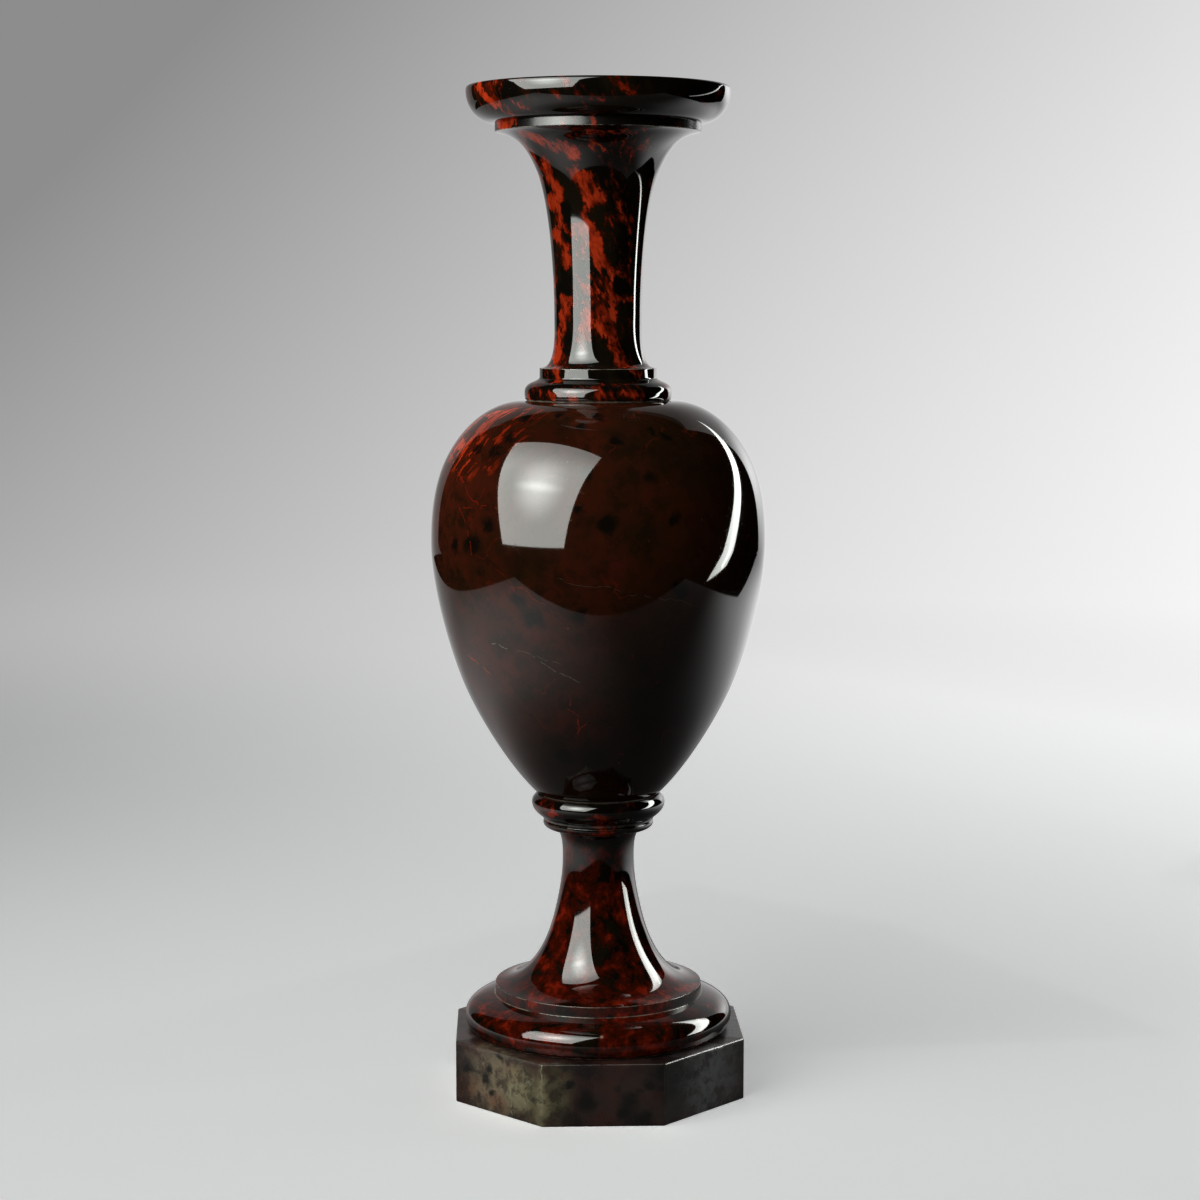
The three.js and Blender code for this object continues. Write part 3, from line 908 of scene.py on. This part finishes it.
def plain_finish(name, colour, other, roughness, metallic, scale):
    """A worked metal or filler whose colour and gloss vary a little."""
    material, shader, place = new_material(name)
    cloud = rise(clouds(place, scale, 4.0, 0.6), 0.35, 0.65)
    join(tint(cloud, colour, other), shader["Base Color"])
    join(spread(cloud, roughness * 0.8, roughness * 1.2), shader["Roughness"])
    shader["Metallic"].default_value = metallic
    height = clouds(place, scale * 12, 3.0)
    bump = add("ShaderNodeBump", {"Height": height, "Strength": 0.3, "Distance": 0.00005})
    join(bump, shader["Normal"])
    return material


# How far the flames of the neck lean out of the upright, in degrees about Y
FLAME_LEAN = -23
# Flames of the neck, in millimetres: width, how far they raise the cover, and the line that they follow
NECK_FLAMES = [
    (3.0, 0.26, [(-26, -17, 343), (-18, -20, 339), (-9, -23, 336)]),
    (2.6, 0.32, [(-19, -12, 332), (-14, -13, 321)]),
    (2.2, 0.30, [(-17, -9, 320), (-13, -12, 313), (-11, -14, 310)]),
    (2.4, 0.30, [(-14, -9, 309), (-12, -12, 304), (-11, -12, 298)]),
    (3.6, 0.32, [(-9, -20, 330), (-4, -20, 326), (-2, -19, 321)]),
    (2.8, 0.32, [(-2, -19, 321), (-5, -18, 316), (-4, -17, 309), (-1, -17, 304), (0, -16, 298)]),
    (2.8, 0.28, [(-8, -16, 312), (-6, -16, 301)]),
    (1.5, 0.28, [(0, -16, 298), (4, -16, 295), (9, -14, 294)]),
    (5.6, 0.20, [(1, -16, 290), (3, -15, 283), (3, -15, 274)]),
    (2.6, 0.18, [(4, -15, 287), (11, -11, 286)]),
    (3.0, 0.26, [(3, -15, 275), (5, -15, 267)]),
    (2.6, 0.26, [(-5, -15, 283), (-4, -15, 272)]),
    (2.2, 0.28, [(-12, -10, 286), (-13, -9, 277), (-15, -7, 265)]),
    (2.0, 0.24, [(5, -15, 266), (9, -16, 263), (14, -15, 261)]),
    (3.6, 0.09, [(4, -19, 325), (9, -15, 315), (12, -12, 304)]),
    (3.0, 0.08, [(3, -17, 309), (8, -14, 301), (10, -13, 292)]),
    (3.0, 0.10, [(-2, -26, 338), (8, -24, 337), (17, -20, 339)]),
    (1.6, 0.08, [(-5, -31, 342), (11, -29, 342)]),
]
LIP_FLAMES = [
    (1.8, 0.30, [(-42, -20, 359), (-40, -24, 355), (-36, -27, 350)]),
    (1.6, 0.16, [(-30, -33, 354), (-26, -35, 350)]),
    (1.4, 0.14, [(-19, -42, 356), (-16, -43, 353)]),
    (1.4, 0.12, [(-7, -45, 351), (-3, -44, 349)]),
    (2.0, 0.12, [(-12, -44, 357), (-2, -46, 353), (12, -44, 356)]),
    (1.6, 0.10, [(16, -43, 352), (28, -36, 355), (36, -28, 353)]),
    (2.0, 0.32, [(-36, -11, 346), (-30, -19, 346)]),
    (0.8, 0.34, [(-3, -36, 348), (-2, -36, 344)]),
    (1.6, 0.24, [(-15, -13, 261), (-14, -15, 257), (-18, -19, 252)]),
    (1.6, 0.14, [(-12, -22, 253), (-9, -24, 250)]),
    (2.0, 0.10, [(1, -26, 252), (12, -23, 253)]),
    (1.8, 0.14, [(20, -10, 262), (24, -8, 254)]),
]
# Where the lip and the neck's back are darker or redder: centre and reach in millimetres, then by how much
LIP_GROUND = [
    ((14, -44, 354), (56, 22, 12), -0.15),
    ((34, -34, 356), (16, 16, 12), -0.06),
    ((-22, -39, 354), (16, 14, 12), -0.08),
    ((12, -46, 356), (9, 10, 8), -0.10),
    ((0, 34, 305), (70, 28, 75), 0.14),
]
# Where the neck stays dark: centre and reach in millimetres, then the change of cover
NECK_DARKS = [
    ((-9, -16, 320), (3.4, 8, 7), -0.22),
    ((-11, -14, 306), (1.6, 7, 3), -0.12),
    ((7, -15, 291), (2.0, 8, 3), -0.16),
    ((-1, -16, 268), (2.6, 8, 4), -0.20),
    ((-12, -12, 293), (2.2, 7, 5), -0.16),
]
# Where the knop is darker or redder, in the same way
KNOP_FLAMES = [
    ((2, -23, 103), (26, 14, 9), -0.05),
    ((-16, -18, 105), (3.5, 6, 3), 0.34),
    ((-1, -23, 102), (7, 6, 3.5), 0.34),
    ((1, -20, 97), (8, 6, 3), 0.34),
    ((-10, -17, 96), (5, 6, 2.5), 0.28),
]
# Flames of the foot, as those of the neck
FOOT_FLAMES = [
    (4.0, 0.11, [(-19, -16, 46), (-15, -24, 43), (-24, -28, 39)]),
    (3.4, 0.12, [(8, -25, 43), (15, -25, 41), (22, -26, 39)]),
    (4.0, 0.07, [(-8, -27, 42), (0, -33, 39), (9, -31, 39)]),
    (3.0, 0.10, [(-12, -10, 65), (-14, -10, 60), (-15, -11, 54)]),
    (3.0, 0.10, [(1, -14, 75), (1, -16, 63), (3, -17, 56)]),
    (3.0, 0.05, [(-41, -18, 32), (-35, -29, 32), (-24, -40, 31), (-12, -46, 29)]),
    (3.0, 0.05, [(2, -48, 30), (9, -44, 32), (16, -40, 33)]),
    (2.0, 0.06, [(28, -30, 33), (34, -24, 33)]),
]
# Where the foot is darker: centre and reach in millimetres, then the change of cover
FOOT_DARKS = [
    ((0, -14, 90), (14, 12, 9), -0.07),
    ((6, -18, 57), (6, 12, 9), -0.10),
    ((-12, -24, 38), (8, 8, 2), -0.08),
    ((34, -30, 30), (16, 18, 8), -0.14),
    ((-10, -46, 29), (8, 8, 4), -0.10),
]
# Red clouds of the body: centre and reach in millimetres, then their strength
BODY_CLOUDS = [
    ((-50, -28, 215), (22, 28, 40), 1.0),
    ((-34, -36, 222), (22, 18, 26), 0.6),
    ((-16, -44, 238), (30, 16, 12), 0.7),
    ((-34, -42, 170), (26, 20, 28), 0.8),
    ((-8, -42, 146), (14, 12, 26), 0.8),
    ((-14, -54, 180), (22, 16, 22), 0.6),
    ((4, -56, 222), (20, 14, 24), 0.5),
    ((-4, -58, 196), (16, 14, 14), 0.6),
]
# Painted shade, laid as black on the body's lower and right side: centre and reach in millimetres, then its
# strength
BODY_PAINTED_SHADE = [
    ((24, -44, 150), (44, 40, 46), 0.75),
    ((0, -34, 122), (40, 30, 20), 0.7),
    ((52, -26, 215), (26, 50, 44), 0.6),
    ((40, 30, 170), (40, 50, 50), 0.4),
]
# Black spots of the body: centre and reach in millimetres
BODY_SPOTS = [
    ((1.3, -59.3, 210.5), 4.2),
    ((-5.8, -54.9, 228), 3.4),
    ((-9.1, -57.9, 216), 3.0),
    ((-44.7, -39.9, 202), 5.0),
    ((-50.5, -32.0, 201), 3.6),
    ((-38.9, -45.0, 209), 3.4),
    ((-31.9, -37.2, 238), 3.6),
    ((-36.4, -37.1, 234), 4.0),
    ((-25.5, -32.4, 245), 3.4),
    ((-41.5, -29.0, 234), 3.6),
    ((-7.2, -43.2, 243), 2.6),
    ((-1.4, -40.2, 246), 2.8),
    ((-14.0, -36.0, 246), 2.4),
    ((4.7, -48.3, 238), 3.0),
    ((15.9, -42.8, 242), 2.6),
    ((-29.3, -50.5, 184), 3.8),
    ((-23.1, -52.4, 178), 5.2),
    ((-8.5, -56.8, 179), 4.0),
    ((23.2, -54.5, 212), 3.2),
    ((26.0, -52.9, 188), 4.6),
    ((-2.9, -36.2, 126.5), 5.0),
    ((-13.3, -34.8, 128), 4.6),
]
# Single veins of the body: centre, square to its plane, reach and width in millimetres, strength, stain
BODY_VEINS = [
    ((-36.4, -40.9, 168.0), (0.25, 0.0, 0.97), 6, 0.22, 0.5, VEIN_PALE),
    ((-17.0, -49.6, 160.8), (0.50, 0.0, 0.87), 13, 0.20, 0.5, VEIN_PALE),
    ((-22.0, -48.0, 165.0), (0.25, 0.0, 0.97), 10, 0.16, 0.35, VEIN_PALE),
    ((-42.5, -40.0, 215.5), (-0.10, 0.0, 1.0), 9, 0.34, 0.8, VEIN_RED),
    ((-47.0, -34.0, 222.0), (0.80, 0.0, 0.60), 14, 0.30, 0.7, VEIN_RED),
    ((-46.0, -36.0, 206.0), (0.95, 0.0, 0.30), 12, 0.28, 0.6, VEIN_RED),
    ((-42.0, -30.7, 159.0), (0.60, 0.0, 0.80), 7, 0.45, 0.8, VEIN_RED),
    ((-11.5, -45.0, 149.0), (0.98, 0.0, 0.15), 3.5, 0.30, 0.6, VEIN_RED),
    ((-8.5, -42.5, 141.5), (0.99, 0.0, 0.10), 3.5, 0.45, 0.7, VEIN_RED),
    ((-7.0, -42.0, 139.0), (0.75, 0.0, -0.66), 3.5, 0.35, 0.7, VEIN_RED),
    ((-10.0, -44.0, 145.0), (0.60, 0.0, 0.80), 3.0, 0.25, 0.5, VEIN_RED),
    ((-24.0, -38.0, 143.0), (0.72, 0.0, 0.70), 9, 0.16, 0.35, VEIN_RED),
    ((-30.0, -47.0, 190.0), (0.55, 0.0, 0.83), 26, 0.18, 0.35, VEIN_RED),
    ((10.0, -58.0, 187.0), (0.20, 0.0, 0.98), 30, 0.16, 0.2, VEIN_PALE),
]

# Patches on the plinth: centre and reach in millimetres, strength, colour; the grey one on the front right
# face is a painted sheen
PLINTH_PATCHES = [
    ((-38, -35, 11), (16, 16, 17), 0.9, PLINTH_TAN),
    # Painted sheen: grey laid over the front right face in place of its dull reflection
    ((39, -35, 11), (17, 17, 24), 1.0, PAINTED_SHEEN_GREY),
    ((-31, -42, 17), (6, 6, 5), 0.45, PLINTH_RUST),
    ((-37, -36, 4), (7, 7, 4), 0.5, PLINTH_RUST),
    ((-47, -26, 7), (8, 8, 5), 0.4, PLINTH_RUST),
    ((-25, -48, 10), (8, 8, 12), 0.9, OLIVE),
    ((-30, -43, 12), (8.5, 8.5, 10), 0.85, PALE_OLIVE),
    ((-17, -51, 11), (7, 6, 13), 0.8, OLIVE),
    ((-21, -51, 10), (2.6, 3, 16), 0.7, PALE_OLIVE),
    ((-2, -52, 14), (8, 6, 5), 0.4, PLINTH_RED),
]
# Black spots of the plinth, and its single veins, as those of the body
PLINTH_SPOTS = [
    ((-40.8, -32.2, 11.0), 3.6),
    ((-47.6, -25.4, 12.4), 2.4),
    ((-39.6, -33.4, 15.2), 2.2),
    ((-36.0, -37.0, 20.4), 2.0),
    ((-38.6, -34.4, 7.0), 2.2),
    ((-5.4, -51.6, 8.8), 4.8),
    ((8.7, -51.6, 9.2), 4.6),
    ((7.0, -51.6, 5.4), 3.6),
    ((14.4, -51.6, 3.5), 3.0),
    ((-11.7, -51.6, 15.0), 2.2),
    ((16.3, -51.6, 14.6), 3.0),
    ((20.6, -51.6, 19.0), 3.0),
]
PLINTH_VEINS = [
    ((-31.6, -41.4, 8.5), (0.707, -0.707, 0.06), 8, 0.40, 0.9, CREAM),
    ((-24.8, -48.2, 16.2), (0.1, -0.1, 0.99), 6, 0.22, 0.6, CREAM),
    ((-21.6, -51.4, 19.0), (0.707, -0.707, 0.0), 4, 0.25, 0.7, CREAM),
    ((-30.5, -42.4, 14.5), (0.3, -0.3, 0.9), 5, 0.25, 0.5, VEIN_RED),
    ((-28.5, -44.4, 12.0), (0.5, -0.5, -0.7), 6, 0.22, 0.5, PALE_OLIVE),
    ((-14.5, -51.6, 19.0), (0.9, 0.0, 0.4), 4, 0.2, 0.4, VEIN_RED),
]

mastic = plain_finish("joint_mastic", (0.36, 0.30, 0.22, 1), (0.22, 0.18, 0.13, 1), 0.8, 0.0, 300.0)
lead = plain_finish("packing_lead", (0.26, 0.27, 0.29, 1), (0.16, 0.165, 0.18, 1), 0.55, 1.0, 200.0)
brass = plain_finish("turned_brass", (0.56, 0.38, 0.13, 1), (0.36, 0.22, 0.08, 1), 0.32, 1.0, 150.0)

stand_in_for(octagonal_slab("fine_plinth"), "plinth", plinth_stone())
stand_in_for(turned_stone("fine_foot", foot_section(), foot_bottom), "foot", foot_stone())
stand_in_for(turned_stone("fine_knop", knop_section(), knop_bottom), "knop", knop_stone())
stand_in_for(turned_stone("fine_body", body_section(), body_bottom), "body", body_stone())
stand_in_for(turned_stone("fine_neck", neck_section(), neck_bottom), "neck", neck_stone())


def finish_node(node, material):
    """Gives a CAD node its material."""
    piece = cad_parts[node]
    piece.data.materials.clear()
    piece.data.materials.append(material)


for bed in ("plinth_mastic", "foot_mastic", "knop_mastic", "shoulder_mastic"):
    finish_node(bed, mastic)
for packing in ("plinth_lead", "body_lead"):
    finish_node(packing, lead)
for fitting in ("plinth_washer", "plinth_nut", "body_washer", "body_nut", "tie_rod"):
    finish_node(fitting, brass)

# Stage, in metres: a pale sweep all round, and black cards that only the polish sees
FLOOR_RADIUS = 1.6
FLOOR_CAP_RADIUS = 0.02
SWEEP_RADIUS = 1.0
SWEEP_HEIGHT = 3.0
SWEEP_STEPS = 96
SWEEP_CURVE_STEPS = 16
CARD_LIFT = 0.002
CARD_HEIGHT = 1.7
TABLE_RING = [(-0.63, -0.37), (0.60, -0.37), (0.60, 0.25), (1.01, 0.95), (-0.63, 1.5)]
WALL_RING = [(-1.15, -1.2), (1.15, -1.2), (1.15, 0.25), (1.15, 1.33), (-1.15, 1.5)]
ROOF_RING = [(-1.15, -1.2), (1.15, -1.2), (1.15, 0.25), (1.15, 0.78), (-1.15, 1.5)]
UPRIGHT_HEIGHT = 0.75
POOL_UNDER_SOFTBOX = (-0.40, -0.14, 0.0)
GLOW_ON_WALL = (1.74, 1.93, 0.5)
BLACK = (0, 0, 0, 1)
WHITE = (1, 1, 1, 1)


def pools_of_light(place):
    """The table as the polish sees it: a pool under the softbox, one beyond the strip lamp, shade between."""
    side = axis(place, 0)
    under_softbox = times(fall(apart(place, POOL_UNDER_SOFTBOX), 0.0, 0.55), 1.6)
    beyond_strip = times(rise(side, 0.05, 0.60), rise(axis(place, 1), -0.16, 0.16))
    inputs = {"Value": side, "From Min": -0.25, "From Max": 0.06, "To Min": 0.60, "To Max": 0.06}
    rest = add("ShaderNodeMapRange", inputs)
    pools = plus(plus(under_softbox, times(beyond_strip, 3.1)), rest)
    # Painted shade: the table's glow falls away close round the foot
    off_foot = rise(length_of(place), 0.08, 0.26)
    return times(pools, spread(off_foot, 0.2, 1.0))


def sweep_material():
    """Pale paper, lit partly by the lamps and partly by itself, so that it fades evenly."""
    material, shader, place = new_material("sweep_paper")
    side = axis(place, 0)
    depth = axis(place, 1)
    in_polish = add("ShaderNodeLightPath", {}, "Is Glossy Ray", place.id_data)
    far = rise(length_of(vectors("MULTIPLY", place, (1, 1, 0))), 0.2, 1.5)
    pale = times(spread(far, 0.84, 0.02), spread(in_polish, 1.0, 0.3))
    join(tint(pale, BLACK, WHITE), shader["Base Color"])
    slope = plus(times(depth, 0.73), 0.18)
    hollow = times(times(depth, depth), 0.22)
    table = plus(plus(times(side, slope), hollow), 0.37)
    table = between(in_polish, kept_between(table, 0.2, 0.8), pools_of_light(place))
    wall = kept_between(plus(dot(place, (0.34, 0.0, -0.30)), 0.68), 0.34, 0.90)
    wall = times(wall, spread(in_polish, 1.0, 1.35))
    from_glow = vectors("MULTIPLY", vectors("SUBTRACT", place, GLOW_ON_WALL), (1, 1, 1.4))
    wall_glow = times(fall(length_of(from_glow), 0.0, 1.25), 2.6)
    wall = plus(wall, times(wall_glow, in_polish))
    shader["Emission Color"].default_value = WHITE
    join(between(far, table, wall), shader["Emission Strength"])
    shader["Specular IOR Level"].default_value = 0.1
    join(spread(clouds(place, 900.0, 2.0), 0.75, 0.9), shader["Roughness"])
    material.cycles.emission_sampling = "NONE"
    return material


def studio_sweep():
    """A floor that curves up into a wall all the way round."""
    shape = bmesh.new()
    profile = [(FLOOR_CAP_RADIUS, 0, 0), (FLOOR_RADIUS, 0, 0)]
    for step in range(1, SWEEP_CURVE_STEPS + 1):
        angle = math.radians(90 * step / SWEEP_CURVE_STEPS)
        across = FLOOR_RADIUS + SWEEP_RADIUS * math.sin(angle)
        profile.append((across, 0, SWEEP_RADIUS * (1 - math.cos(angle))))
    profile.append((FLOOR_RADIUS + SWEEP_RADIUS, 0, SWEEP_HEIGHT))
    draw_line(shape, profile, closed=False)
    turn_about_axis(shape, SWEEP_STEPS)
    middle = [edge for edge in shape.edges if edge.is_boundary and edge.verts[0].co.length < FLOOR_RADIUS / 2]
    bmesh.ops.contextual_create(shape, geom=middle)
    sweep = finished("studio_sweep", shape)
    sweep.data.materials.append(sweep_material())
    sweep.visible_diffuse = False


def ring_of(shape, corners, height):
    return [shape.verts.new((x, y, height)) for x, y in corners]


def black_cards():
    """A dark surround beyond the table, and walls and a roof that are open behind."""
    shape = bmesh.new()
    table = ring_of(shape, TABLE_RING, CARD_LIFT)
    foot_of_walls = ring_of(shape, WALL_RING, CARD_LIFT)
    middle_of_walls = ring_of(shape, WALL_RING, UPRIGHT_HEIGHT)
    head_of_walls = ring_of(shape, ROOF_RING, CARD_HEIGHT)
    for here, onward in ((4, 0), (0, 1), (1, 2), (2, 3)):
        shape.faces.new((table[here], table[onward], foot_of_walls[onward], foot_of_walls[here]))
        for low, high in ((foot_of_walls, middle_of_walls), (middle_of_walls, head_of_walls)):
            shape.faces.new((low[here], low[onward], high[onward], high[here]))
    shape.faces.new(head_of_walls)
    cards = finished("black_cards", shape)
    material, shader = new_material("black_card")[:2]
    shader["Base Color"].default_value = (0.004, 0.004, 0.004, 1)
    shader["Roughness"].default_value = 1.0
    shader["Specular IOR Level"].default_value = 0.0
    cards.data.materials.append(material)
    for ray in ("camera", "diffuse", "shadow", "transmission"):
        setattr(cards, "visible_" + ray, False)


studio_sweep()
black_cards()

# Lamps, in metres: where each panel stands, which way its height runs and where it faces
SOFTBOX_PLACE = Vector((-0.316, -0.289, 0.408))
SOFTBOX_UP = Vector((0.444, 0.491, 0.750))
SOFTBOX_FACING = Vector((0.454, 0.503, -0.598))
SOFTBOX_SIZE = (0.50, 0.62)
STRIP_PLACE = Vector((0.488, 0.160, 0.273))
STRIP_UP = Vector((-0.391, 0.634, 0.667))
STRIP_FACING = Vector((-0.350, 0.568, -0.745))
STRIP_SIZE = (0.33, 0.64)
STRIP_TO_LIP = Vector((-0.448, -0.184, 0.084))
STRIP_EDGE_SIZE = (0.018, 0.58)
LAMP_COLOUR = (0.97, 1.0, 0.96)


def panel_lamp(name, place, up, facing, size, radiance, polish_sees_it, beam=180):
    """A panel that lights either what is seen in the polish or what lights the paper and the stone."""
    lamp_data = bpy.data.lights.new(name, "AREA")
    lamp_data.shape = "RECTANGLE"
    lamp_data.size, lamp_data.size_y = size
    lamp_data.energy = radiance * math.pi * size[0] * size[1]
    lamp_data.spread = math.radians(beam)
    lamp_data.color = LAMP_COLOUR
    lamp = bpy.data.objects.new(name, lamp_data)
    height = up.normalized()
    away = (-facing + height * facing.dot(height)).normalized()
    turn = Matrix((height.cross(away), height, away)).transposed()
    lamp.matrix_world = Matrix.Translation(place) @ turn.to_4x4()
    lamp.visible_camera = False
    lamp.visible_diffuse = not polish_sees_it
    lamp.visible_glossy = polish_sees_it
    bpy.context.scene.collection.objects.link(lamp)
    return lamp


def shade_panel(lamp, hot_middle, hot_reach, hot_gain, streak_gain, faded_top):
    """Makes a panel brightest round its lamp and dimmer towards its top edge."""
    lamp.data.use_nodes = True
    tree = lamp.data.node_tree
    spot = tree.nodes.new("ShaderNodeNewGeometry").outputs["Parametric"]
    glow = fall(apart(spot, hot_middle), 0.0, hot_reach)
    flattened = vectors("MULTIPLY", vectors("SUBTRACT", spot, hot_middle), (0.2, 1.0, 0.0))
    streak = fall(length_of(flattened), 0.0, 0.07)
    level = plus(1.0, times(glow, hot_gain))
    level = plus(level, times(streak, streak_gain))
    fade = times(rise(axis(spot, 1), 0.7, 1.0), faded_top)
    strength = times(level, minus(1.0, fade))
    join(strength, tree.nodes["Emission"].inputs["Strength"])


softbox = panel_lamp("softbox_gloss", SOFTBOX_PLACE, SOFTBOX_UP, SOFTBOX_FACING, SOFTBOX_SIZE, 14.6, True)
shade_panel(softbox, (0.54, 0.52, 0.0), 0.36, 0.9, 0.55, 0.45)
panel_lamp("softbox_light", SOFTBOX_PLACE, SOFTBOX_UP, SOFTBOX_FACING, SOFTBOX_SIZE, 4.2, False)
strip = panel_lamp("strip_gloss", STRIP_PLACE, STRIP_UP, STRIP_FACING, STRIP_SIZE, 18.0, True, 176)
shade_panel(strip, (0.5, 0.40, 0.0), 0.7, 0.4, 0.0, 0.5)
panel_lamp("strip_edge_gloss", STRIP_PLACE, STRIP_UP, STRIP_TO_LIP, STRIP_EDGE_SIZE, 7.5, True)
panel_lamp("strip_light", STRIP_PLACE, STRIP_UP, STRIP_FACING, STRIP_SIZE, 0.6, False)

world = bpy.data.worlds.new("studio_air")
world.use_nodes = True
air = world.node_tree.nodes["Background"].inputs
air["Color"].default_value = (0.9, 0.95, 1.0, 1)
air["Strength"].default_value = 0.12
bpy.context.scene.world = world

# Camera, from the photo's perspective
CAMERA_PLACE = (-0.0309, -0.9128, 0.284)
CAMERA_TILT = 6.597
CAMERA_SWING = -1.98
CAMERA_LENS = 76.674

camera_data = bpy.data.cameras.new("camera")
camera_data.lens = CAMERA_LENS
camera_data.sensor_width = 36.0
camera = bpy.data.objects.new("camera", camera_data)
camera.location = CAMERA_PLACE
camera.rotation_euler = (math.radians(90 - CAMERA_TILT), 0, math.radians(CAMERA_SWING))
bpy.context.scene.collection.objects.link(camera)
bpy.context.scene.camera = camera

# Contrast of the print: white stays, shadows deepen
PRINT_GAMMA = 0.8
bpy.context.scene.view_settings.view_transform = "Standard"
bpy.context.scene.view_settings.gamma = PRINT_GAMMA
